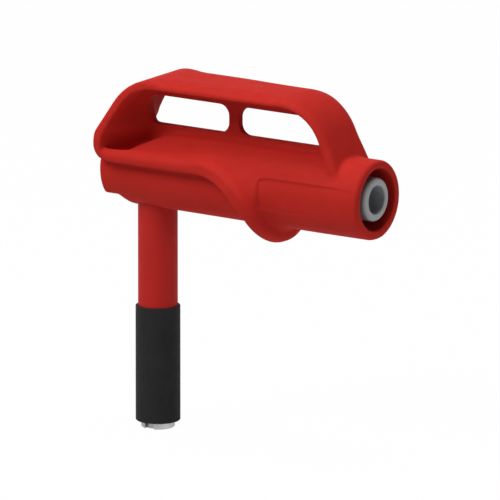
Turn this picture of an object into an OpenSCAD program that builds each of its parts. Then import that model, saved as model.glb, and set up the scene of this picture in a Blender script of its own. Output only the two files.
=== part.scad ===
// Magnetic socket adapter: a 4 mm shrouded safety socket in a moulded grip, joined at a right
// angle to a sprung magnetic contact at the foot of an insulated stem.
// Origin: the centre of the magnet's contact face. +Z runs up the stem, +X to the socket mouth.

/* [Socket barrel] */
// Outer radius of the socket barrel
barrel_r = 6.3; // [5.9:0.1:7.2]
// Height of the barrel's axis above the contact face
barrel_axis_h = 42; // [38:0.5:56]
// Distance from the stem's axis to the socket mouth
mouth_x = 41.8; // [39:0.2:50]
// Distance from the stem's axis back to the closed end
closed_end_x = 6.9; // [6.5:0.1:8]
// Rounding of the socket mouth's outer edge
mouth_round = 0.7; // [0.3:0.1:1.2]
// Rounding of the closed end's edge
closed_round = 0.5; // [0.2:0.1:1]
// Height of the relief flat under the closed end, below the barrel's axis
relief_drop = 4.1; // [3.9:0.1:4.6]

/* [Socket bore] */
// Radius of the shroud bore that takes the mating plug's sleeve
shroud_r = 5.0; // [4.8:0.05:5.3]
// Depth of the shroud bore, as far as the insulator's flange
shroud_depth = 24; // [20:0.5:26]
// Length of the insulator's flange behind the shroud bore
flange_len = 4; // [3:0.5:5]
// Radius of the insulator's tube
insulator_r = 3.475; // [3.4:0.025:3.6]
// Radius of the insulator's finger-safe front hole
insulator_hole_r = 2.3; // [2.2:0.05:2.35]
// Rounding of the insulator's front edge
insulator_round = 0.6; // [0.3:0.05:0.8]
// Distance from the mouth back to the insulator's front edge
insulator_setback = 0.2; // [0.1:0.1:1]
// Distance from the insulator's front edge back to the contact
contact_setback = 4.1; // [3:0.1:6]
// Bore radius of the female contact, for a 4 mm plug
contact_bore_r = 2.0; // [2:0.01:2.05]
// Wall of the female contact's fingers
finger_wall = 0.55; // [0.45:0.05:0.6]
// Width of the slots between the fingers
finger_slot = 0.5; // [0.3:0.1:0.7]
// Length of the slots between the fingers
finger_slot_len = 15; // [8:0.5:18]
// Wall of the spring collar round the fingers
collar_wall = 0.2; // [0.15:0.05:0.25]
// Length of the spring collar
collar_len = 8; // [5:0.5:11]
// Radius of the contact's rear block
block_r = 3.5; // [3.3:0.1:3.8]
// Distance from the stem's axis back to the block's rear end
block_back = 2.4; // [2.2:0.1:2.8]

/* [Stem] */
// Outer radius of the stem's insulating tube
stem_r = 3.15; // [3:0.05:3.3]
// Radius of the brass rod inside the stem
rod_r = 1.9; // [1.8:0.05:2]
// Radius of the rod's upper end, which enters the contact's block
rod_end_r = 1.5; // [1.25:0.05:1.55]
// Thickness of the spring washer at the top of the rod
washer_t = 0.6; // [0.4:0.1:0.8]
// Outer radius of the insulating sleeve at the tip
sleeve_r = 3.55; // [3.5:0.05:3.8]
// Height of the sleeve's top edge
sleeve_top_h = 19.8; // [15:0.2:28]

/* [Magnetic tip] */
// How far the contact stands out of the sleeve, which is its travel too
tip_travel = 1.1; // [0.7:0.1:1.5]
// Outer radius of the slotted contact cup
cup_r = 2.675; // [2.5:0.025:2.8]
// Height of the contact cup
cup_h = 4.2; // [3.6:0.1:5]
// Wall of the contact cup round the magnet
cup_wall = 0.5; // [0.4:0.05:0.6]
// Thickness of the cup's floor above the magnet
cup_floor = 1.2; // [0.8:0.1:1.5]
// Width of the slot across the cup
cup_slot = 1.7; // [1:0.1:2]
// Edge rounding of the magnet
magnet_round = 0.18; // [0.1:0.02:0.3]
// Radius of the plunger's shank
shank_r = 0.85; // [0.7:0.05:0.9]
// Radius of the bore for the plunger and its spring
spring_bore_r = 1.3; // [1.25:0.05:1.4]
// Height of the top of the spring bore
spring_bore_top_h = 22; // [19:0.5:26]
// Length of the plunger's piston
piston_len = 2; // [1.5:0.1:3]
// Length of the guide bush inside the rod
bush_len = 2.5; // [2:0.1:3.5]
// Thickness of the guide bush's flange
bush_flange = 0.5; // [0.4:0.1:0.8]
// Radius of the spring's wire
spring_wire_r = 0.14; // [0.1:0.01:0.18]
// Number of the spring's turns
spring_turns = 9; // [7:1:12]

/* [Grip loop] */
// Height of the top of the grip above the barrel's axis
grip_top_h = 15.4; // [14.4:0.1:18]
// Thickness of the grip's top edge, at its sides
grip_top_t = 1.45; // [1.2:0.05:2]
// Thickness of the grip's back edge, at its sides
grip_back_t = 1.4; // [1.2:0.05:2]
// Height of the corner at the grip's back, above the barrel's axis
back_corner_h = 6.2; // [5.8:0.1:6.8]
// Rounding of the corner at the grip's back
back_corner_r = 2.5; // [1.5:0.1:3]
// Run of the slope from the back corner to the grip's top
back_slope_run = 5.6; // [4.6:0.1:6.6]
// Rounding between the back slope and the grip's top
back_top_r = 8; // [4:0.5:9]
// Run of the slope from the grip's top down to the front leg's foot
leg_slope_run = 5.7; // [5:0.1:7]
// Rounding between the grip's top and its front leg
leg_top_r = 8.5; // [6:0.5:10]
// Half of the grip's width at its foot
grip_foot_half_w = 7.9; // [7.4:0.1:8.4]
// Half of the grip's width under the crown
grip_crown_half_w = 6.2; // [5.8:0.1:6.6]
// Half of the flat on top of the crown
crown_flat_half_w = 3.0; // [2:0.1:4]
// Drop of the crown's shoulders
crown_drop = 1.05; // [0.6:0.05:1.2]
// Half of the grip's width at its front leg
leg_half_w = 5.0; // [4.6:0.1:5.4]
// Thickness of the web between the two finger scoops
web_t = 1.2; // [0.8:0.1:2]
// Chamfer between the web and the edges of the scoops, above and at the front leg
scoop_chamfer = 1.05; // [0.5:0.05:1.5]
// The same chamfer at the scoops' back end
back_chamfer = 2; // [1:0.1:2.5]
// Height of the pocket's floor at the scoops' back end, above the barrel's axis
pocket_floor_h = 2.9; // [2.5:0.1:3.6]
// Width of the pocket, which leaves the lip standing along its sides
pocket_w = 13.4; // [12:0.2:14]
// Width of the bar between the two windows
bar_w = 1.95; // [1.2:0.05:3]
// Corner radius of the windows
window_round = 1.8; // [1:0.1:2.2]

/* [Finger guard] */
// Thickness of the lip and the guard
lip_t = 2.0; // [1.6:0.1:2.2]
// Height of the lip's underside above the barrel's axis
lip_h = 1.9; // [1.4:0.1:2.4]
// Distance from the stem's axis to the lowest edge of the guard
guard_x = 24.5; // [22:0.1:26]
// How far the guard's lowest edge lies below the barrel's axis
guard_drop = 8.85; // [8.4:0.05:9.6]
// Lean of the guard disc away from the vertical
guard_lean = 20; // [14:1:24]
// Length of the sweep in which the lip turns down into the guard
guard_sweep = 9; // [8:0.5:12]
// Fillet between the guard and the barrel, on the socket side
guard_fillet = 2.2; // [1.4:0.1:2.6]

/* [Label recess] */
// Depth of the bare label recess
label_depth = 0.25; // [0.15:0.05:0.4]
// Height of the label recess
label_h = 5.1; // [4:0.1:6]
// Distance from the stem's axis to the recess's left end
label_x = 23.1; // [22:0.1:27]

/* [Hidden] */
$fn = 96;
moulded_red = [0.76, 0.09, 0.08];
soft_black = [0.09, 0.09, 0.09];
insulator_grey = [0.58, 0.61, 0.63];
nickel = [0.78, 0.78, 0.76];
steel = [0.62, 0.63, 0.65];
bronze = [0.72, 0.56, 0.34];
// Clearance of parts that are pressed together
seat_gap = 0.03;
// Clearance of parts that slide
slide_gap = 0.05;
// Extra length of cutting solids
cut = 1;

// Rounds the corners of an outline whose points are [x, y, radius]
function corner_arc(a, b, c) =
    let(u = (a - b) / norm(a - b), w = (c - b) / norm(c - b))
    let(half_turn = acos(min(1, max(-1, u * w))) / 2)
    let(bisector = (u + w) / norm(u + w), side = sign(u[0] * w[1] - u[1] * w[0]))
    let(steps = 8)
    [for (i = [0 : steps])
        let(swing = (1 - 2 * i / steps) * (90 - half_turn) * side)
        [bisector, swing, half_turn]];
function rounded(pts) =
    let(n = len(pts))
    [for (i = [0 : n - 1])
        let(a = pts[(i + n - 1) % n], b = pts[i], c = pts[(i + 1) % n])
        each (b[2] <= 0 ? [[b[0], b[1]]]
            : let(p = [b[0], b[1]])
            let(arc = corner_arc([a[0], a[1]], p, [c[0], c[1]]))
            [for (s = arc)
                let(centre = p + s[0] * b[2] / sin(s[2]))
                let(back = -s[0])
                centre + b[2] * [back[0] * cos(s[1]) - back[1] * sin(s[1]),
                    back[0] * sin(s[1]) + back[1] * cos(s[1])]])];
// A point on a cubic curve with four control points
function cubic(p, t) = pow(1 - t, 3) * p[0] + 3 * pow(1 - t, 2) * t * p[1]
    + 3 * (1 - t) * t * t * p[2] + pow(t, 3) * p[3];
function unit(v) = v / norm(v);
// A strip along a line of points, between two distances to its left; the second may grow
function strip(path, low, high, growth = 0) =
    let(n = len(path))
    let(side = [for (i = [0 : n - 1])
        let(d = unit(path[min(i + 1, n - 1)] - path[max(i - 1, 0)]))
        [-d[1], d[0]]])
    concat([for (i = [0 : n - 1]) path[i] + low * side[i]],
        [for (i = [n - 1 : -1 : 0]) path[i] + (high + growth * i / (n - 1)) * side[i]]);

// Stands an outline drawn in X and Z upright, and gives it a width along Y
module slab(y0, y1) {
    translate([0, y1, 0])
        rotate([90, 0, 0])
            linear_extrude(y1 - y0)
                children();
}
// Lays a round solid drawn along Z on the barrel's axis, so that Z becomes X
module along_barrel() {
    translate([0, 0, barrel_axis_h])
        rotate([0, 90, 0])
            children();
}
module ring(r_out, r_in, h) {
    difference() {
        cylinder(r = r_out, h = h);
        translate([0, 0, -cut])
            cylinder(r = r_in, h = h + 2 * cut);
    }
}

// Places along the barrel
flange_front_x = mouth_x - shroud_depth;
flange_back_x = flange_front_x - flange_len;
insulator_front_x = mouth_x - insulator_setback;
contact_front_x = insulator_front_x - contact_setback;
contact_outer_r = contact_bore_r + finger_wall;
collar_r = contact_outer_r + seat_gap + collar_wall;
block_back_x = -block_back;
latch_h = 0.2;
latch_len = 1;
// Places up the stem
block_flat_h = barrel_axis_h - block_r + 0.2;
rod_shoulder_h = block_flat_h - washer_t;
cup_top_h = cup_h;
bush_bottom_h = cup_top_h + tip_travel + 2 * slide_gap;
rod_bottom_h = bush_bottom_h + bush_flange;
bush_top_h = rod_bottom_h + bush_len;
piston_top_h = bush_top_h + slide_gap + piston_len;
washer_r = 2.8;
tube_bore_r = rod_r + slide_gap;
tube_collar_r = stem_r + 0.35;
tube_collar_t = 0.8;
sleeve_bore_r = stem_r + seat_gap;

// The outline of the grip, from its foot over the left slope, the top and the front leg
axis_h = barrel_axis_h;
grip_back_x = closed_end_x + 0.25;
grip_top_z = axis_h + grip_top_h;
leg_back = 5.3;
leg_foot_x = mouth_x - leg_back;
leg_foot_h = 3.6;
leg_front_x = leg_foot_x + 1.4;
leg_inner_x = leg_foot_x - 0.35;
grip_outer = rounded([
    [-grip_back_x, axis_h + lip_h, lip_t * 0.9],
    [-grip_back_x, axis_h + back_corner_h, back_corner_r],
    [-grip_back_x + back_slope_run, grip_top_z, back_top_r],
    [leg_front_x - leg_slope_run, grip_top_z, leg_top_r],
    [leg_front_x, axis_h + leg_foot_h, 0],
    [leg_foot_x - 0.6, axis_h + lip_h, 0]]);
// Where the lip turns down into the guard
guard_top = [guard_x - guard_drop * tan(guard_lean), axis_h];
guard_down = [sin(guard_lean), -cos(guard_lean)];
lip_bend_x = guard_top[0] - guard_sweep;
// The outline of the scoops follows the grip's own, inside its edges
scoop_left_x = -grip_back_x + grip_back_t;
scoop_top_z = grip_top_z - grip_top_t;
scoop_leg_run = 4.35;
// The inset narrows the outline by one distance at the back and another elsewhere
function scoop(back_inset, inset) = rounded([
    [scoop_left_x + back_inset, axis_h, 0],
    [scoop_left_x + back_inset, axis_h + back_corner_h - 0.3 * grip_back_t, back_corner_r],
    [scoop_left_x + back_inset + back_slope_run - 0.4 * grip_back_t, scoop_top_z - inset,
        0.8 * back_top_r],
    [leg_inner_x - scoop_leg_run - 0.6 * inset, scoop_top_z - inset, 0.9 * leg_top_r],
    [leg_inner_x - inset, axis_h + leg_foot_h + 0.2, 0],
    [leg_foot_x - 1.5 - inset, axis_h, 0]]);
// The two windows in the web
window_bottom_z = axis_h + barrel_r + 1.0;
window_top_z = scoop_top_z - 2.1;
window_left_x = -1.3;
bar_x = 13.9;
window_right_x = leg_foot_x - 2.3;
window_slope_run = 2.3;

// The front window's last edge may slope, to follow the leg
module window(x0, x1, slope_run) {
    polygon(rounded([
        [x0, window_bottom_z, window_round],
        [x0, window_top_z, window_round],
        [x1 - slope_run, window_top_z, window_round + slope_run / 2],
        [x1, window_bottom_z, window_round - slope_run / 2.5]]));
}
// Width of the grip seen from the front: sides that draw in, and a crown with shoulders
module grip_front() {
    crown_side_z = grip_top_z - crown_drop;
    polygon([
        [-grip_foot_half_w, axis_h],
        [-grip_foot_half_w, axis_h + 5],
        [-grip_crown_half_w, crown_side_z],
        [-crown_flat_half_w, grip_top_z],
        [crown_flat_half_w, grip_top_z],
        [grip_crown_half_w, crown_side_z],
        [grip_foot_half_w, axis_h + 5],
        [grip_foot_half_w, axis_h]]);
}
// Width of the grip seen from above: it narrows towards the socket
module grip_plan() {
    back_x = -grip_back_x - cut;
    polygon([
        [back_x, -grip_foot_half_w - cut],
        [back_x, grip_foot_half_w + cut],
        [-1.5, grip_foot_half_w + cut],
        [0, grip_crown_half_w + 0.4],
        [leg_foot_x + cut, leg_half_w],
        [leg_foot_x + cut, -leg_half_w],
        [0, -grip_crown_half_w - 0.4],
        [-1.5, -grip_foot_half_w - cut]]);
}
// A slab on one side of the web, from y0 out to y1
module side_slab(side, y0, y1) {
    slab(side > 0 ? y0 : -y1, side > 0 ? y1 : -y0)
        children();
}
// One finger scoop, chamfered where its edges meet the web
module finger_scoop(side) {
    skin = 0.01;
    web = web_t / 2;
    full = web + 1.5 * scoop_chamfer;
    hull() {
        side_slab(side, web, web + skin)
            polygon(scoop(back_chamfer, scoop_chamfer));
        side_slab(side, full, full + skin)
            polygon(scoop(0, 0));
    }
    side_slab(side, full, grip_foot_half_w + 2 * cut)
        polygon(scoop(0, 0));
}
// The web's foot spreads where it stands on the barrel
module web_foot() {
    spread = 1.2;
    web = web_t / 2;
    foot_z = axis_h + barrel_r;
    translate([block_r, 0, 0])
        rotate([90, 0, 90])
            linear_extrude(leg_inner_x - block_r)
                polygon([[-web - spread, foot_z - 0.4], [-web, foot_z + spread],
                    [web, foot_z + spread], [web + spread, foot_z - 0.4],
                    [web + spread, axis_h + shroud_r + 0.5],
                    [-web - spread, axis_h + shroud_r + 0.5]]);
}
module grip_loop() {
    half_w = grip_foot_half_w + cut;
    difference() {
        union() {
            difference() {
                intersection() {
                    slab(-half_w, half_w)
                        polygon(grip_outer);
                    translate([-grip_back_x - cut, 0, 0])
                        rotate([90, 0, 90])
                            linear_extrude(mouth_x + grip_back_x)
                                grip_front();
                    translate([0, 0, axis_h])
                        linear_extrude(grip_top_h + cut)
                            grip_plan();
                }
                for (side = [-1, 1])
                    finger_scoop(side);
            }
            web_foot();
        }
        slab(-half_w, half_w)
            window(window_left_x, bar_x, 0);
        slab(-half_w, half_w)
            window(bar_x + bar_w, window_right_x, window_slope_run);
    }
}
// The pocket at the scoops' back end, cut round a low boss over the contact's block
pocket_x0 = -3.4;
pocket_run = 7.4;
pocket_rise = barrel_r - pocket_floor_h;
boss_r = block_r + 0.6;
module pocket() {
    top_z = axis_h + barrel_r + cut;
    difference() {
        slab(-pocket_w / 2, pocket_w / 2)
            polygon(concat(
                [[-grip_back_x - cut, top_z], [-grip_back_x - cut, axis_h + pocket_floor_h]],
                [for (i = [0 : 10])
                    [pocket_x0 + pocket_run * i / 10,
                        axis_h + pocket_floor_h + pocket_rise * (1 - cos(18 * i)) / 2]],
                [[pocket_x0 + pocket_run, top_z]]));
        along_barrel()
            translate([0, 0, block_back_x - 0.55])
                cylinder(r = boss_r, h = mouth_x / 2);
    }
}
// The lip runs along both sides of the barrel and sweeps down into the guard
lip_mid_z = axis_h + lip_h + lip_t / 2;
lip_end = guard_top + 0.5 * guard_sweep * guard_down;
lip_bend = [[lip_bend_x, lip_mid_z], [lip_bend_x + 0.5 * guard_sweep, lip_mid_z],
    guard_top, lip_end];
sweep_path = [for (i = [0 : 12]) cubic(lip_bend, i / 12)];
lip_path = concat([[-grip_back_x + lip_t / 2, lip_mid_z]], sweep_path,
    [lip_end + 0.2 * guard_sweep * guard_down]);
guard_r = guard_drop / cos(guard_lean);
guard_t = lip_t - 0.1;
guard_angle = 120;
guard_fillet_angle = 110;
module lip() {
    wide = grip_foot_half_w;
    intersection() {
        slab(-guard_r - cut, guard_r + cut)
            polygon(strip(lip_path, -(guard_t - 0.1) / 2, (guard_t - 0.1) / 2));
        union() {
            translate([0, 0, axis_h])
                linear_extrude(grip_top_h)
                    polygon(rounded([
                        [-grip_back_x, -wide, 1.2],
                        [lip_bend_x, -wide, 0],
                        [guard_top[0], -guard_r + 0.15, 0],
                        [guard_x + cut, -guard_r, 0],
                        [guard_x + cut, guard_r, 0],
                        [guard_top[0], guard_r - 0.15, 0],
                        [lip_bend_x, wide, 0],
                        [-grip_back_x, wide, 1.2]]));
            translate([guard_top[0], 0, guard_top[1]])
                rotate([0, 90 - guard_lean, 0])
                    translate([0, 0, -2 * lip_t])
                        cylinder(r = guard_r, h = 4 * lip_t);
        }
    }
}
// Fills the corner between the barrel and the top of the sweep
module sweep_fill() {
    fill = 0.9;
    intersection() {
        slab(-barrel_r - fill - cut, barrel_r + fill + cut)
            polygon(strip(sweep_path, 0, guard_t / 2, fill));
        along_barrel()
            cylinder(r = barrel_r + fill, h = mouth_x);
    }
}
// The guard is part of a leaning disc with a round rim and a concave fillet towards the socket
module leaning_sector(angle, profile) {
    translate([guard_top[0], 0, guard_top[1]])
        rotate([0, 90 - guard_lean, 0])
            rotate([0, 0, -angle / 2])
                rotate_extrude(angle = angle)
                    polygon(profile);
}
module guard() {
    // The rim stands just proud of the lip that runs into it
    proud = 0.05;
    rim = guard_t / 2;
    foot_r = guard_r - rim;
    fillet_r = min(guard_fillet, foot_r - barrel_r);
    leaning_sector(guard_angle, concat([[0, -rim]],
        [for (a = [-90 : 15 : 90]) [foot_r + (rim + proud) * cos(a), rim * sin(a)]],
        [[0, rim]]));
    leaning_sector(guard_fillet_angle, concat([[0, 0], [foot_r, 0]],
        [for (a = [15 : 15 : 90])
            [foot_r - fillet_r * sin(a), rim + fillet_r * (1 - cos(a))]],
        [[0, rim + fillet_r]]));
}
module barrel_solid() {
    back = -closed_end_x;
    profile = concat([[0, back]],
        [for (a = [-90 : 18 : 0])
            [barrel_r - closed_round + closed_round * cos(a),
                back + closed_round + closed_round * sin(a)]],
        [for (a = [0 : 15 : 90])
            [barrel_r - mouth_round + mouth_round * cos(a),
                mouth_x - mouth_round + mouth_round * sin(a)]],
        [[0, mouth_x]]);
    along_barrel()
        rotate_extrude()
            polygon(profile);
}
// The moulding steps up under the closed end, in a soft S
module closed_end_relief() {
    step_x0 = -closed_end_x + 2.7;
    step_x1 = -stem_r + 0.3;
    top_z = axis_h - relief_drop;
    low_z = axis_h - barrel_r - cut;
    slab(-barrel_r - cut, barrel_r + cut)
        polygon(concat(
            [[-closed_end_x - cut, low_z], [-closed_end_x - cut, top_z]],
            [for (i = [0 : 6])
                [step_x0 + (step_x1 - step_x0) * i / 6,
                    top_z - (barrel_r - relief_drop + 0.1) * (1 - cos(30 * i)) / 2]],
            [[step_x1, low_z]]));
}
module label_recess() {
    difference() {
        slab(-barrel_r - cut, 0)
            polygon(rounded([
                [label_x, axis_h - label_h / 2 - 0.2, 0.8],
                [label_x, axis_h + label_h / 2 - 0.2, 0.8],
                [mouth_x - mouth_round, axis_h + label_h / 2 - 0.2, 0.8],
                [mouth_x - mouth_round, axis_h - label_h / 2 - 0.2, 0.8]]));
        along_barrel()
            cylinder(r = barrel_r - label_depth, h = mouth_x + cut);
    }
}
// What is hollow in the housing: the socket, the seat of the contact and the hole of the stem
module housing_bores() {
    along_barrel() {
        translate([0, 0, flange_back_x])
            cylinder(r = shroud_r, h = mouth_x);
        translate([0, 0, flange_back_x + flange_len / 2 - latch_len / 2 - seat_gap])
            cylinder(r = shroud_r + latch_h, h = latch_len + 2 * seat_gap);
        translate([0, 0, block_back_x - slide_gap])
            cylinder(r = block_r + slide_gap, h = mouth_x / 2);
    }
    translate([0, 0, sleeve_top_h])
        cylinder(r = stem_r + seat_gap, h = rod_shoulder_h - sleeve_top_h + seat_gap);
    translate([0, 0, rod_shoulder_h - tube_collar_t - seat_gap])
        cylinder(r = tube_collar_r + seat_gap, h = tube_collar_t + 2 * seat_gap);
    translate([0, 0, rod_shoulder_h])
        cylinder(r = washer_r + slide_gap, h = washer_t + slide_gap);
}
module grip_housing() {
    color(moulded_red)
        difference() {
            union() {
                difference() {
                    union() {
                        barrel_solid();
                        lip();
                    }
                    closed_end_relief();
                    label_recess();
                    pocket();
                }
                grip_loop();
                sweep_fill();
                guard();
            }
            housing_bores();
        }
}
// The tube is moulded into the housing, and a collar at its top locks it there
module stem_tube() {
    bottom_h = rod_bottom_h - bush_flange;
    color(moulded_red)
        difference() {
            union() {
                translate([0, 0, bottom_h])
                    cylinder(r = stem_r, h = rod_shoulder_h - bottom_h);
                translate([0, 0, rod_shoulder_h - tube_collar_t])
                    cylinder(r = tube_collar_r, h = tube_collar_t);
            }
            translate([0, 0, bottom_h - cut])
                cylinder(r = tube_bore_r, h = rod_shoulder_h);
        }
}
module tip_sleeve() {
    edge = 0.15;
    outline = [
        [sleeve_bore_r, tip_travel], [sleeve_r - edge, tip_travel],
        [sleeve_r, tip_travel + edge], [sleeve_r, sleeve_top_h - edge],
        [sleeve_r - edge, sleeve_top_h], [sleeve_bore_r, sleeve_top_h]];
    color(soft_black)
        rotate_extrude()
            polygon(outline);
}
module socket_insulator() {
    back = flange_back_x;
    lead_in = 0.15;
    contact_room_r = collar_r + slide_gap;
    mid = back + flange_len / 2;
    outline = concat(
        [[contact_room_r, back], [shroud_r - seat_gap, back],
            [shroud_r - seat_gap, mid - latch_len / 2],
            [shroud_r - seat_gap + latch_h, mid + latch_len / 4],
            [shroud_r - seat_gap + latch_h, mid + latch_len / 2],
            [shroud_r - seat_gap, mid + latch_len / 2],
            [shroud_r - seat_gap, flange_front_x],
            [insulator_r, flange_front_x]],
        [for (a = [0 : 18 : 90])
            [insulator_r - insulator_round * (1 - cos(a)),
                insulator_front_x - insulator_round * (1 - sin(a))]],
        [[insulator_hole_r + lead_in, insulator_front_x],
            [insulator_hole_r, insulator_front_x - lead_in],
            [insulator_hole_r, contact_front_x + slide_gap],
            [contact_room_r, contact_front_x + slide_gap]]);
    color(insulator_grey)
        along_barrel()
            rotate_extrude()
                polygon(outline);
}
// A turned block with slotted fingers, cross-bored for the rod
module female_contact() {
    front = contact_front_x;
    shoulder_x = flange_back_x - seat_gap;
    bore_back_x = flange_back_x;
    color(nickel)
        difference() {
            along_barrel()
                union() {
                    translate([0, 0, block_back_x])
                        cylinder(r = block_r, h = shoulder_x - block_back_x);
                    translate([0, 0, block_back_x])
                        cylinder(r = contact_outer_r, h = front - block_back_x);
                }
            along_barrel() {
                translate([0, 0, bore_back_x])
                    cylinder(r = contact_bore_r, h = front);
                for (turn = [0, 90])
                    rotate([0, 0, turn])
                        translate([-contact_outer_r - cut, -finger_slot / 2,
                            front - finger_slot_len])
                            cube([2 * contact_outer_r + 2 * cut, finger_slot,
                                finger_slot_len + cut]);
            }
            translate([0, 0, block_flat_h - block_r])
                cylinder(r = washer_r + slide_gap, h = block_r);
            translate([0, 0, block_flat_h - cut])
                cylinder(r = rod_end_r + seat_gap, h = 2 * block_r + 2 * cut);
        }
}
module contact_collar() {
    gap = 0.8;
    color(steel)
        along_barrel()
            translate([0, 0, contact_front_x - collar_len - 1.5])
                difference() {
                    ring(collar_r, contact_outer_r + seat_gap, collar_len);
                    rotate([0, 0, 45])
                        translate([0, -gap / 2, -cut])
                            cube([2 * collar_r, gap, collar_len + 2 * cut]);
                }
}
module rod_washer() {
    color(steel)
        translate([0, 0, rod_shoulder_h])
            difference() {
                ring(washer_r, rod_end_r + slide_gap, washer_t);
                translate([0, -0.25, -cut])
                    cube([2 * washer_r, 0.5, washer_t + 2 * cut]);
            }
}
// The rod carries the current up the stem, and its lower end is the plunger's barrel
module stem_rod() {
    top_h = barrel_axis_h + block_r - 0.6;
    color(nickel)
        difference() {
            union() {
                translate([0, 0, rod_bottom_h])
                    cylinder(r = rod_r, h = rod_shoulder_h - rod_bottom_h);
                translate([0, 0, rod_bottom_h])
                    cylinder(r = rod_end_r, h = top_h - rod_bottom_h);
            }
            translate([0, 0, rod_bottom_h - cut])
                cylinder(r = spring_bore_r, h = spring_bore_top_h - rod_bottom_h + cut);
        }
}
module guide_bush() {
    color(bronze)
        difference() {
            union() {
                translate([0, 0, bush_bottom_h])
                    cylinder(r = rod_r, h = bush_flange);
                translate([0, 0, bush_bottom_h])
                    cylinder(r = spring_bore_r - seat_gap, h = bush_flange + bush_len);
            }
            translate([0, 0, bush_bottom_h - cut])
                cylinder(r = shank_r + slide_gap, h = bush_len + bush_flange + 2 * cut);
        }
}
// A compression spring with closed ends, swept along its coil
module contact_spring() {
    sides = 6;
    steps = 14;
    coil_r = spring_bore_r - slide_gap - spring_wire_r - 0.1;
    low = piston_top_h + spring_wire_r + 0.02;
    high = spring_bore_top_h - spring_wire_r - 0.02;
    count = spring_turns * steps;
    dead = 1.5;
    pitch = 2.2 * spring_wire_r;
    live = spring_turns - 2 * dead;
    live_rise = high - low - 2 * dead * pitch;
    rings = [for (i = [0 : count])
        let(turn = i / steps)
        let(z = low + pitch * min(turn, dead) + live_rise * min(1, max(0, (turn - dead) / live))
            + pitch * max(0, turn - spring_turns + dead))
        [for (k = [0 : sides - 1])
            let(r = coil_r + spring_wire_r * cos(360 * k / sides))
            [r * cos(360 * turn), r * sin(360 * turn),
                z + spring_wire_r * sin(360 * k / sides)]]];
    side_faces = [for (i = [0 : count - 1], k = [0 : sides - 1])
        let(a = i * sides + k, b = i * sides + (k + 1) % sides)
        [a, a + sides, b + sides, b]];
    ends = [[for (k = [0 : sides - 1]) k],
        [for (k = [sides - 1 : -1 : 0]) count * sides + k]];
    color(steel)
        polyhedron([for (r = rings) each r], concat(side_faces, ends), convexity = 12);
}
module plunger_pin() {
    piston_bottom_h = bush_top_h + slide_gap;
    color(nickel)
        union() {
            translate([0, 0, cup_h - cup_floor + seat_gap])
                cylinder(r = shank_r, h = piston_bottom_h - cup_h + cup_floor);
            translate([0, 0, piston_bottom_h])
                cylinder(r = spring_bore_r - slide_gap, h = piston_len);
        }
}
// The cup grips the magnet with two springy halves, parted by a slot
module magnet_cup() {
    edge = 0.15;
    outline = [
        [cup_r - cup_wall, 0], [cup_r - edge, 0], [cup_r, edge],
        [cup_r, cup_h - edge], [cup_r - edge, cup_h],
        [shank_r + seat_gap, cup_h], [shank_r + seat_gap, cup_h - cup_floor],
        [cup_r - cup_wall, cup_h - cup_floor]];
    slot_h = cup_h - cup_floor - 0.2;
    color(nickel)
        difference() {
            rotate_extrude()
                polygon(outline);
            translate([-cup_slot / 2, -cup_r - cut, -cut])
                cube([cup_slot, 2 * cup_r + 2 * cut, slot_h + cut]);
        }
}
module magnet() {
    r = cup_r - cup_wall - seat_gap;
    outline = concat([[0, 0]],
        [for (a = [-90 : 30 : 0])
            [r - magnet_round + magnet_round * cos(a), magnet_round + magnet_round * sin(a)]],
        [[r, cup_h - cup_floor], [0, cup_h - cup_floor]]);
    color(steel)
        rotate_extrude()
            polygon(outline);
}

grip_housing();
stem_tube();
tip_sleeve();
socket_insulator();
female_contact();
contact_collar();
rod_washer();
stem_rod();
guide_bush();
contact_spring();
plunger_pin();
magnet_cup();
magnet();
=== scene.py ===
"""Looks of the magnetic socket adapter: the moulded housing as one smooth skin, and every material.

The housing is described as a distance field in millimetres, with the barrel's axis at height 0,
and skinned with a surface net. The spring is a copy of its CAD mesh, with a mesh of its own.
The other parts keep their CAD shapes.
"""
import math

import bpy
import numpy as np
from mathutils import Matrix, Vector


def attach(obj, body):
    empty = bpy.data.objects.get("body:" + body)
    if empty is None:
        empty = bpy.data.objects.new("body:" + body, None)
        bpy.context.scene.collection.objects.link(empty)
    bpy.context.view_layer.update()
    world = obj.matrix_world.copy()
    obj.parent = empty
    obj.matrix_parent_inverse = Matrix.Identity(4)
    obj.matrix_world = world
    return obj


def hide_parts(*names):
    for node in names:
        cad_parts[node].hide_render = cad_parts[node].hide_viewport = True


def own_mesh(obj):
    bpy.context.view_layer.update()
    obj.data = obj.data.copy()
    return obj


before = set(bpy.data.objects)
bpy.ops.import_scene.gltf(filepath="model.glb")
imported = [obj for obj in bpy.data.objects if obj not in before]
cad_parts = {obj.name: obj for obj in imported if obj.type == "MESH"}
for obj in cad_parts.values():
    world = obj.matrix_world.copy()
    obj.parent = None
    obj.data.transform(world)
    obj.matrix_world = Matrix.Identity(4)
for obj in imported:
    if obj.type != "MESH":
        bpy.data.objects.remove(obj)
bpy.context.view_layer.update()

MM = 0.001
WHITE = (1, 1, 1, 1)

# Height of the barrel's axis over the contact face, in mm
AXIS_H = 42.0

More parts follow.
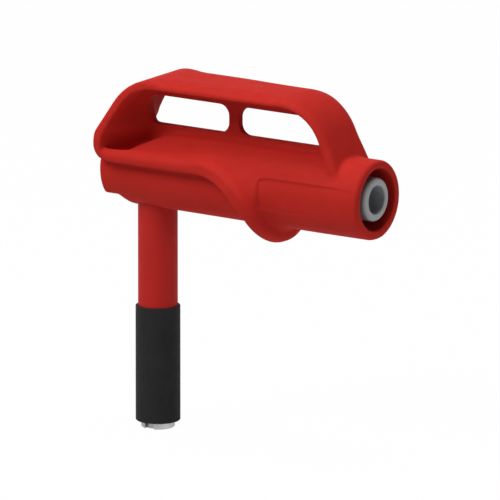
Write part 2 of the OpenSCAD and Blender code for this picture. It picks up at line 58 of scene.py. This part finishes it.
# Sizes of the housing, in mm, with heights over the barrel's axis
BARREL_R = 6.3
CLOSED_X = -7.0
MOUTH_X = 41.8
MOUTH_EDGE = 0.7
LIP_HALF_W = 7.9
LIP_MID = 2.83
LIP_END_R = 2.7
PLATE_T = 2.05
GRIP_BACK = -7.15
GRIP_TOP = 15.4
GRIP_EDGE = 0.45
GUARD_X = 24.5
GUARD_DROP = 8.75
GUARD_LEAN = math.radians(20)
GUARD_SWEEP = 9.0
WEB_HALF = 0.6
LEG_FOOT = MOUTH_X - 5.3
WINDOW_LOW = 7.3
WINDOW_TOP = 11.85
WINDOW_EDGE = 0.2
POCKET_HALF_W = 6.7
BOSS_R = 4.1
LABEL = (23.1, 41.1, -2.75, 2.35)
REAR_WINDOW = (-1.3, 13.9, WINDOW_LOW, WINDOW_TOP)
SHROUD_R = 5.0
SHROUD_BACK = 13.8
LATCH_R = 5.2
LATCH = (15.27, 16.33)
BLOCK_R = 3.55
BLOCK_BACK = -2.45
TUBE_HOLE_R = 3.18
TUBE_COLLAR_R = 3.53
TUBE_COLLAR_T = 0.83
TUBE_TOP = 38.1 - AXIS_H
WASHER_R = 2.85
WASHER_T = 0.65

# Grid of the skin, in mm: it has to hold the whole housing
GRID = 0.22
GRID_LOW = (-7.6, -10.2, -9.6)
GRID_HIGH = (42.5, 10.2, 16.1)


# Distance field of the housing
def round_min(a, b, r):
    """Union with a concave fillet of radius r."""
    return np.maximum(r, np.minimum(a, b)) - np.hypot(np.maximum(r - a, 0), np.maximum(r - b, 0))


def round_max(a, b, r):
    """Intersection with a rounded edge of radius r."""
    return np.minimum(-r, np.maximum(a, b)) + np.hypot(np.maximum(r + a, 0), np.maximum(r + b, 0))


def soft_min(a, b, k):
    """Union with a soft blend that dies away over the distance k."""
    h = np.maximum(k - np.abs(a - b), 0) / k
    return np.minimum(a, b) - h ** 3 * k / 6


def ease(t):
    """A smooth step from 0 to 1 as t goes from 0 to 1."""
    t = np.clip(t, 0, 1)
    return t * t * (3 - 2 * t)


def rounded_outline(corners, steps=14):
    """Corners are (x, y, radius); gives the outline's points with its corners rounded."""
    pts = []
    n = len(corners)
    for i in range(n):
        a, b, c = (Vector(corners[j][:2]) for j in ((i - 1) % n, i, (i + 1) % n))
        r = corners[i][2]
        if r <= 0:
            pts.append(tuple(b))
            continue
        u, w = (a - b).normalized(), (c - b).normalized()
        half = math.acos(max(-1, min(1, u.dot(w)))) / 2
        bis = (u + w).normalized()
        side = 1 if u.x * w.y - u.y * w.x > 0 else -1
        centre = b + bis * (r / math.sin(half))
        for k in range(steps + 1):
            swing = (1 - 2 * k / steps) * (math.pi / 2 - half) * side
            cs, sn = math.cos(swing), math.sin(swing)
            px = centre.x + r * (-bis.x * cs + bis.y * sn)
            py = centre.y + r * (-bis.x * sn - bis.y * cs)
            pts.append((px, py))
    return pts


def outline_distance(px, py, pts):
    """Signed distance to a closed outline, negative inside."""
    px, py = np.broadcast_arrays(px, py)
    best = np.full(px.shape, 1e9)
    inside = np.zeros(px.shape, bool)
    for (ax, ay), (bx, by) in zip(pts, pts[-1:] + pts[:-1]):
        ex, ey = bx - ax, by - ay
        wx, wy = px - ax, py - ay
        t = np.clip((wx * ex + wy * ey) / max(ex * ex + ey * ey, 1e-12), 0, 1)
        best = np.minimum(best, (wx - ex * t) ** 2 + (wy - ey * t) ** 2)
        crosses = (ay > py) != (by > py)
        if ey:
            inside ^= crosses & (px < ax + (py - ay) * ex / ey)
    return np.where(inside, -1, 1) * np.sqrt(best)


def path_distance(px, py, pts):
    """Signed distance to an open path, positive on its left, and the length along the path."""
    px, py = np.broadcast_arrays(px, py)
    best = np.full(px.shape, 1e9)
    side = np.ones(px.shape)
    along = np.zeros(px.shape)
    run = 0.0
    for (ax, ay), (bx, by) in zip(pts[:-1], pts[1:]):
        ex, ey = bx - ax, by - ay
        length = math.hypot(ex, ey)
        wx, wy = px - ax, py - ay
        t = np.clip((wx * ex + wy * ey) / (length * length), 0, 1)
        d = (wx - ex * t) ** 2 + (wy - ey * t) ** 2
        near = d < best
        best = np.where(near, d, best)
        side = np.where(near, np.sign(ex * wy - ey * wx), side)
        along = np.where(near, run + t * length, along)
        run += length
    return side * np.sqrt(best), along


# Outlines seen from the side: the loop, its scoops and the front window
GRIP_OUTER = rounded_outline([
    (GRIP_BACK, 1.9, 2.6),
    (GRIP_BACK, 6.2, 2.5),
    (GRIP_BACK + 5.6, GRIP_TOP, 8.5),
    (LEG_FOOT - 4.3, GRIP_TOP, 9.3),
    (LEG_FOOT + 1.4, 3.6, 0),
    (LEG_FOOT - 0.6, 0.0, 0)])
SCOOP_LEFT = GRIP_BACK + 1.4
SCOOP_TOP = GRIP_TOP - 1.45
SCOOP = rounded_outline([
    (SCOOP_LEFT, -3.0, 0),
    (SCOOP_LEFT, 5.78, 2.5),
    (SCOOP_LEFT + 5.04, SCOOP_TOP, 6.4),
    (LEG_FOOT - 4.7, SCOOP_TOP, 7.5),
    (LEG_FOOT - 0.55, 3.8, 0),
    (LEG_FOOT - 1.5, -3.0, 0)])
FRONT_WINDOW = rounded_outline([
    (15.85, WINDOW_LOW, 1.8),
    (15.85, WINDOW_TOP, 1.8),
    (LEG_FOOT - 4.6, WINDOW_TOP, 2.95),
    (LEG_FOOT - 2.3, WINDOW_LOW, 0.88)])
# Outlines of the loop from the front and from above
GRIP_FRONT = [(-7.9, -2), (-7.9, 5), (-5.8, 16.5), (5.8, 16.5), (7.9, 5), (7.9, -2)]
GRIP_PLAN = [
    (-12, -9), (-12, 9), (-3, 8.2), (0, 6.7), (LEG_FOOT + 3, 5),
    (LEG_FOOT + 3, -5), (0, -6.7), (-3, -8.2)]
GUARD_TOP = (GUARD_X - GUARD_DROP * math.tan(GUARD_LEAN), 0.0)
GUARD_R = GUARD_DROP / math.cos(GUARD_LEAN)
BEND_X = GUARD_TOP[0] - GUARD_SWEEP


def plate_path():
    """The lip's middle line, its sweep down and the guard's middle line, seen from the side."""
    down = (math.sin(GUARD_LEAN), -math.cos(GUARD_LEAN))
    end = (GUARD_TOP[0] + GUARD_SWEEP / 2 * down[0], GUARD_SWEEP / 2 * down[1])
    p = [(BEND_X, LIP_MID), (BEND_X + GUARD_SWEEP / 2, LIP_MID), GUARD_TOP, end]
    pts = [(GRIP_BACK - 6, LIP_MID)]
    for k in range(25):
        t = k / 24
        w = ((1 - t) ** 3, 3 * (1 - t) ** 2 * t, 3 * (1 - t) * t * t, t ** 3)
        pts.append(tuple(sum(c * q[i] for c, q in zip(w, p)) for i in (0, 1)))
    pts.append((end[0] + 14 * down[0], end[1] + 14 * down[1]))
    return pts


# How far along the path the guard is at the axis's height, and how much of that is the sweep
PLATE = plate_path()
AXIS_RUN = sum(math.dist(a, b) for a, b in zip(PLATE[:-2], PLATE[1:-1])) - GUARD_SWEEP / 2
SWEEP_RUN = AXIS_RUN - math.dist(PLATE[0], PLATE[1])


def cylinder(rho, run, r, low, high):
    """A cylinder, from the distance rho to its axis and the place run along it."""
    return np.maximum(rho - r, np.maximum(low - run, run - high))


def box_2d(px, py, x0, x1, y0, y1, r):
    """A rectangle with corners of radius r."""
    qx = np.abs(px - (x0 + x1) / 2) - (x1 - x0) / 2 + r
    qy = np.abs(py - (y0 + y1) / 2) - (y1 - y0) / 2 + r
    return np.hypot(np.maximum(qx, 0), np.maximum(qy, 0)) + np.minimum(np.maximum(qx, qy), 0) - r


def barrel_field(x, y, z):
    """The barrel: its lower side falls a little towards the mouth, and steps up at the closed end."""
    drop = 0.08 * np.clip((x - 12) / 20, -0.6, 1)
    rho = np.hypot(y, z + drop) - drop
    d = round_max(round_max(rho - BARREL_R, CLOSED_X - x, 0.5), x - MOUTH_X, MOUTH_EDGE)
    floor = -4.1 - 2.4 * ease((x + 4.6) / 2.2)
    d = round_max(d, (floor - z) * 0.75, 0.3)
    # the bare label recess, on the near side only, fades towards the mouth and downwards
    depth = (0.25 - 0.2 * ease((x - 32) / 9)) * (1 - 0.6 * ease((-z - 0.4) / 2))
    panel = box_2d(x, z, *LABEL, 0.8)
    label = np.maximum(np.maximum(panel, BARREL_R - depth - rho), y)
    return round_max(d, -label, 0.06)


def plate_field(x, y, z):
    """The lip and the guard: one plate with rounded edges. Also gives the distance q from its middle."""
    q, run = path_distance(x, z, PLATE)
    s = run - AXIS_RUN
    half_w = LIP_HALF_W + (GUARD_R - LIP_HALF_W) * ease((s + SWEEP_RUN) / SWEEP_RUN)
    # the guard's lower half is a disc, whose sides are cut a little flat
    width = np.where(s > 0, np.hypot(y, s) - GUARD_R, np.abs(y) - half_w)
    width = np.maximum(width, np.abs(y) - GUARD_R + 0.06)
    half_t = PLATE_T / 2
    top_edge = 1.4 - 0.4 * ease((s + 3) / 5)
    d = round_max(round_max(q - half_t, width, top_edge), -q - half_t, 0.45)
    # the lip's closed end follows the loop's lower corner
    back, under = np.minimum(x - GRIP_BACK - LIP_END_R, 0), np.minimum(z - 4.5, 0)
    end = np.hypot(back, under) - LIP_END_R
    return round_max(d, end - 20 * ease((x - GRIP_BACK - 2) / 5), 0.9), q


def loop_field(x, y, z, body):
    """The grip loop with its web, rounded into the body where they meet."""
    side = outline_distance(x, z, GRIP_OUTER)
    # the top is crowned, more so towards the leg, and the leg is drawn in at its sides
    crown = (0.45 + 0.25 * ease((x - 12) / 12)) * ease(x / 6) * ease((z - 4) / 6)
    leg_crown = (0.45 + 0.75 * ease((z - 8) / 7)) * ease((x - 29) / 6)
    crown = np.maximum(crown, leg_crown) * np.clip((np.abs(y) - 2.5) / 3, 0, 1.2) ** 2
    draft = 0.7 * ease((x - 27) / 6) * ease((z - 4) / 5) * np.clip(1 + side / 1.4, 0, 1)
    outer = round_max(side + crown, outline_distance(y, z, GRIP_FRONT), GRIP_EDGE)
    outer = round_max(outer, outline_distance(x, y, GRIP_PLAN) + draft, GRIP_EDGE)
    # the scoops' walls turn into the web with a fillet, which is widest at the closed end
    blend = 1.8 + 1.6 * ease((3 - x) / 7) + 5 * ease((10.5 - z) / 4) * ease((2 - x) / 5)
    walls = round_min(-outline_distance(x, z, SCOOP), np.abs(y) - WEB_HALF, blend)
    foot = round_min(walls, body, 0.5 + 0.7 * ease((x + 2) / 4))
    return round_max(outer, foot, 0.35 - 0.12 * ease((z - 9) / 3))


def housing_field(x, y, z):
    """The whole housing, with its holes."""
    plate, q = plate_field(x, y, z)
    # the plate blends widely with the barrel above and in front, and narrowly below and behind
    front = 2.4 + 0.8 * ease(x / 5) + 3.5 * ease((x - 8) / 7) * ease((z + 5) / 6)
    body = soft_min(barrel_field(x, y, z), plate, 0.9 + (front - 0.9) * ease((q + 0.9) / 1.8))
    # the scoops deepen into a pocket at the closed end, round a low boss over the contact's block
    floor = 6.3 - 3.4 * (1 - np.clip((x + 2.6) / 12, 0, 1)) ** 2.5
    boss = round_max(np.hypot(y, z) - BOSS_R, -2.95 - x, 0.8)
    pocket = round_max(floor - z, np.abs(y) - POCKET_HALF_W, 0.5)
    body = np.minimum(round_max(body, -pocket, 0.4), boss)
    body = np.maximum(body, GRIP_BACK - x)
    d = round_min(body, loop_field(x, y, z, body), 0.05 + 0.4 * ease((x + 4) / 4))
    # the windows
    d = round_max(d, -box_2d(x, z, *REAR_WINDOW, 1.8), WINDOW_EDGE)
    d = round_max(d, -outline_distance(x, z, FRONT_WINDOW), WINDOW_EDGE)
    # the socket: its mouth, the insulator's latch groove and the room of the contact's block
    rho = np.hypot(y, z)
    d = round_max(d, -cylinder(rho, x, SHROUD_R, SHROUD_BACK, MOUTH_X + 3), 0.3)
    d = np.maximum(d, -cylinder(rho, x, LATCH_R, *LATCH))
    d = np.maximum(d, -cylinder(rho, x, BLOCK_R, BLOCK_BACK, SHROUD_BACK + 1.2))
    # the stem: its hole, the groove of the tube's collar and the room of the washer
    stem = np.hypot(x, y)
    d = round_max(d, -cylinder(stem, z, TUBE_HOLE_R, -20, TUBE_TOP), 0.05)
    collar = cylinder(stem, z, TUBE_COLLAR_R, TUBE_TOP - TUBE_COLLAR_T, TUBE_TOP + 0.03)
    d = np.maximum(d, -collar)
    return np.maximum(d, -cylinder(stem, z, WASHER_R, TUBE_TOP, TUBE_TOP + WASHER_T))


# Skin of the housing
def surface_net(field, low, high, step):
    """A quad skin on the field's zero set, its points pulled onto it."""
    axes = [np.arange(a, b + step, step) for a, b in zip(low, high)]
    value = field(axes[0][:, None, None], axes[1][None, :, None], axes[2][None, None, :])
    inside = value < 0
    nx, ny, nz = (n - 1 for n in value.shape)
    total = np.zeros((nx, ny, nz, 3))
    count = np.zeros((nx, ny, nz))
    # each cell's point is the mean of where the surface cuts its edges
    corners = [(i, j, k) for i in (0, 1) for j in (0, 1) for k in (0, 1)]
    for a in corners:
        for axis in range(3):
            if a[axis]:
                continue
            b = list(a)
            b[axis] = 1
            sl = [tuple(slice(c, c + n) for c, n in zip(p, (nx, ny, nz))) for p in (a, b)]
            cross = inside[sl[0]] != inside[sl[1]]
            va, vb = value[sl[0]][cross], value[sl[1]][cross]
            point = np.tile(np.array(a, float), (len(va), 1))
            point[:, axis] = va / (va - vb)
            total[cross] += point
            count[cross] += 1
    used = count > 0
    index = np.full(used.shape, -1)
    index[used] = np.arange(used.sum())
    cells = np.argwhere(used)
    points = np.array(low) + (cells + total[used] / count[used][:, None]) * step
    # each grid edge that the surface cuts gives a quad between the four cells round it
    quads = []
    for axis in range(3):
        u, v = (axis + 1) % 3, (axis + 2) % 3
        first = [slice(None)] * 3
        second = [slice(None)] * 3
        first[axis], second[axis] = slice(0, -1), slice(1, None)
        edge = np.argwhere(inside[tuple(first)] != inside[tuple(second)])
        edge = edge[(edge[:, u] > 0) & (edge[:, v] > 0)]
        around = []
        for du, dv in ((-1, -1), (0, -1), (0, 0), (-1, 0)):
            cell = edge.copy()
            cell[:, u] += du
            cell[:, v] += dv
            around.append(index[tuple(cell.T)])
        quad = np.stack(around, 1)
        outward = inside[tuple(first)][tuple(edge.T)]
        quads.append(np.where(outward[:, None], quad, quad[:, ::-1]))
    quads = np.concatenate(quads)
    h = 0.02
    for _ in range(3):
        d = field(*points.T)
        slope = [field(*(points + h * e).T) - field(*(points - h * e).T) for e in np.eye(3)]
        slope = np.stack(slope, 1) / (2 * h)
        size = np.maximum((slope ** 2).sum(1), 0.2)
        points = points - np.clip(d / size, -0.5 * step, 0.5 * step)[:, None] * slope
    return points, quads


def mesh_object(name, points, faces, smooth=True):
    mesh = bpy.data.meshes.new(name)
    mesh.from_pydata([tuple(p) for p in points], [], [tuple(int(i) for i in f) for f in faces])
    mesh.validate()
    if smooth:
        mesh.polygons.foreach_set("use_smooth", [True] * len(mesh.polygons))
    mesh.update()
    obj = bpy.data.objects.new(name, mesh)
    bpy.context.scene.collection.objects.link(obj)
    return obj


# Materials
def material(name, base, rough, metallic=0, tone=0.03, grain=0.1, grain_scale=5000, specular=0.5):
    """A moulded or metal surface: uneven tone, uneven gloss and a fine grain."""
    tone_scale, rough_spread = 300, 0.05
    mat = bpy.data.materials.new(name)
    mat.use_nodes = True
    nodes, links = mat.node_tree.nodes, mat.node_tree.links
    shader = nodes["Principled BSDF"]
    shader.inputs["Metallic"].default_value = metallic
    shader.inputs["Specular IOR Level"].default_value = specular
    where = nodes.new("ShaderNodeTexCoord").outputs["Object"]

    def noise(scale, detail):
        node = nodes.new("ShaderNodeTexNoise")
        node.inputs["Scale"].default_value = scale
        node.inputs["Detail"].default_value = detail
        links.new(where, node.inputs["Vector"])
        return node.outputs["Fac"]

    def spread(fac, low, high):
        node = nodes.new("ShaderNodeMapRange")
        node.inputs["From Min"].default_value = 0.3
        node.inputs["From Max"].default_value = 0.7
        node.inputs["To Min"].default_value = low
        node.inputs["To Max"].default_value = high
        links.new(fac, node.inputs["Value"])
        return node.outputs["Result"]

    mottle = noise(tone_scale, 3)
    mix = nodes.new("ShaderNodeMix")
    mix.data_type = "RGBA"
    mix.inputs["A"].default_value = (*[c * (1 - tone) for c in base], 1)
    mix.inputs["B"].default_value = (*[min(1, c * (1 + tone)) for c in base], 1)
    links.new(spread(mottle, 0, 1), mix.inputs["Factor"])
    links.new(mix.outputs["Result"], shader.inputs["Base Color"])
    gloss = spread(noise(tone_scale * 3, 2), rough - rough_spread, rough + rough_spread)
    links.new(gloss, shader.inputs["Roughness"])
    bump = nodes.new("ShaderNodeBump")
    bump.inputs["Strength"].default_value = grain
    bump.inputs["Distance"].default_value = 0.02 * MM
    links.new(noise(grain_scale, 2), bump.inputs["Height"])
    links.new(bump.outputs["Normal"], shader.inputs["Normal"])
    return mat


MOULDED = material("moulded_red", (0.48, 0.0175, 0.0115), 0.75,
                   grain=0.25, grain_scale=4500, specular=0.13)
TUBE = material("tube_red", (0.48, 0.017, 0.0125), 0.65,
                grain=0.12, grain_scale=3500, specular=0.16)
SLEEVE = material("soft_black", (0.021, 0.021, 0.021), 0.7,
                  tone=0.1, grain=0.3, grain_scale=6000, specular=0.1)
GREY = material("insulator_grey", (0.345, 0.36, 0.365), 0.45, grain=0.15)
NICKEL = material("nickel_plate", (0.26, 0.257, 0.25), 0.34, metallic=1, tone=0.04)
CUP = material("cup_nickel", (0.47, 0.47, 0.465), 0.6, metallic=1, tone=0.05, grain=0.15)
MAGNET = material("magnet_plate", (0.32, 0.32, 0.325), 0.38, metallic=1, tone=0.05)
STEEL = material("spring_steel", (0.52, 0.53, 0.54), 0.30, metallic=1, tone=0.05)
BRONZE = material("bronze", (0.42, 0.24, 0.10), 0.40, metallic=1, tone=0.08, grain=0.2)
FINISH = {
    "grip_housing": MOULDED, "stem_tube": TUBE, "tip_sleeve": SLEEVE, "socket_insulator": GREY,
    "female_contact": NICKEL, "contact_collar": STEEL, "rod_washer": STEEL, "stem_rod": NICKEL,
    "guide_bush": BRONZE, "contact_spring": STEEL, "plunger_pin": NICKEL, "magnet_cup": CUP,
    "magnet": MAGNET}


def dress(obj, mat):
    obj.data.materials.clear()
    obj.data.materials.append(mat)


for name, mat in FINISH.items():
    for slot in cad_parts[name].material_slots:
        slot.material = mat

points, quads = surface_net(housing_field, GRID_LOW, GRID_HIGH, GRID)
points = (points + np.array((0, 0, AXIS_H))) * MM
housing = mesh_object("moulded_housing", points, quads)
dress(housing, MOULDED)
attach(housing, "adapter")
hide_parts("grip_housing")

# The spring, which shortens against its seat as the plunger rises, is a copy of its CAD mesh with a mesh
# of its own
coil = bpy.data.objects.new("spring_coil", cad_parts["contact_spring"].data.copy())
bpy.context.scene.collection.objects.link(coil)
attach(coil, "adapter")
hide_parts("contact_spring")
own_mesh(coil)


# Stage, lights and camera
def white_share(nodes, links):
    """1 for what the camera sees, also by reflection or through glass, and 0 for the light."""
    path = nodes.new("ShaderNodeLightPath")
    share = path.outputs["Is Camera Ray"]
    for kind in ("Is Glossy Ray", "Is Transmission Ray"):
        either = nodes.new("ShaderNodeMath")
        either.operation = "MAXIMUM"
        links.new(share, either.inputs[0])
        links.new(path.outputs[kind], either.inputs[1])
        share = either.outputs[0]
    return share


def mixed(nodes, links, share, lit, white, output):
    """Mixes the lit shader with the white one by share, into the output."""
    mix = nodes.new("ShaderNodeMixShader")
    links.new(share, mix.inputs[0])
    links.new(lit.outputs[0], mix.inputs[1])
    links.new(white.outputs[0], mix.inputs[2])
    out = nodes.new(output)
    links.new(mix.outputs[0], out.inputs["Surface"])


def stage_material(name, colour, glow):
    """Pale for the light, and nearly white for the camera, so that the shadow stays faint."""
    mat = bpy.data.materials.new(name)
    mat.use_nodes = True
    nodes, links = mat.node_tree.nodes, mat.node_tree.links
    nodes.clear()
    share = nodes.new("ShaderNodeMath")
    share.operation = "MULTIPLY"
    share.inputs[1].default_value = glow
    links.new(white_share(nodes, links), share.inputs[0])
    matte = nodes.new("ShaderNodeBsdfDiffuse")
    matte.inputs["Color"].default_value = (*colour, 1)
    white = nodes.new("ShaderNodeEmission")
    white.inputs["Color"].default_value = WHITE
    mixed(nodes, links, share.outputs[0], matte, white, "ShaderNodeOutputMaterial")
    return mat


def make_floor():
    half = 3.0
    corners = [(-half, -half, 0), (half, -half, 0), (half, half, 0), (-half, half, 0)]
    floor = mesh_object("floor", corners, [(0, 1, 2, 3)], smooth=False)
    dress(floor, stage_material("pale_floor", (0.72, 0.72, 0.72), 0.985))


def make_world():
    world = bpy.data.worlds.new("studio")
    bpy.context.scene.world = world
    world.use_nodes = True
    nodes, links = world.node_tree.nodes, world.node_tree.links
    nodes.clear()
    dim, white = (nodes.new("ShaderNodeBackground") for _ in range(2))
    for shader, strength in ((dim, 0.04), (white, 1.0)):
        shader.inputs["Color"].default_value = WHITE
        shader.inputs["Strength"].default_value = strength
    mixed(nodes, links, white_share(nodes, links), dim, white, "ShaderNodeOutputWorld")


def area_light(name, place, aim, size, power):
    """A round lamp of this size in metres and power in watts, turned to its aim."""
    data = bpy.data.lights.new(name, "AREA")
    data.shape = "DISK"
    data.size = size
    data.energy = power
    obj = bpy.data.objects.new(name, data)
    obj.location = place
    obj.rotation_euler = (Vector(aim) - Vector(place)).to_track_quat("-Z", "Y").to_euler()
    bpy.context.scene.collection.objects.link(obj)


def make_camera():
    """A long lens, 34 degrees round from -Y towards +X and 13 degrees up, as in the photo."""
    data = bpy.data.cameras.new("camera")
    data.lens = 1500
    data.sensor_width = 36
    data.clip_start = 0.05
    data.clip_end = 20
    cam = bpy.data.objects.new("camera", data)
    back = Vector((0.5449, -0.8078, 0.2250)).normalized()
    aim, distance = Vector((0.01755, 0, 0.03085)), 3.28125
    cam.location = aim + back * distance
    cam.rotation_euler = (-back).to_track_quat("-Z", "Y").to_euler()
    bpy.context.scene.collection.objects.link(cam)
    bpy.context.scene.camera = cam


make_camera()
make_floor()
make_world()
CENTRE = (0.0175, 0, 0.035)
area_light("top", (0.02, 0.0, 0.62), CENTRE, 0.30, 1.75)
area_light("key", (-0.16, -0.34, 0.47), CENTRE, 0.30, 2.4)
area_light("right", (0.54, -0.02, 0.06), CENTRE, 0.25, 0.62)
bpy.context.scene.view_settings.view_transform = "Standard"
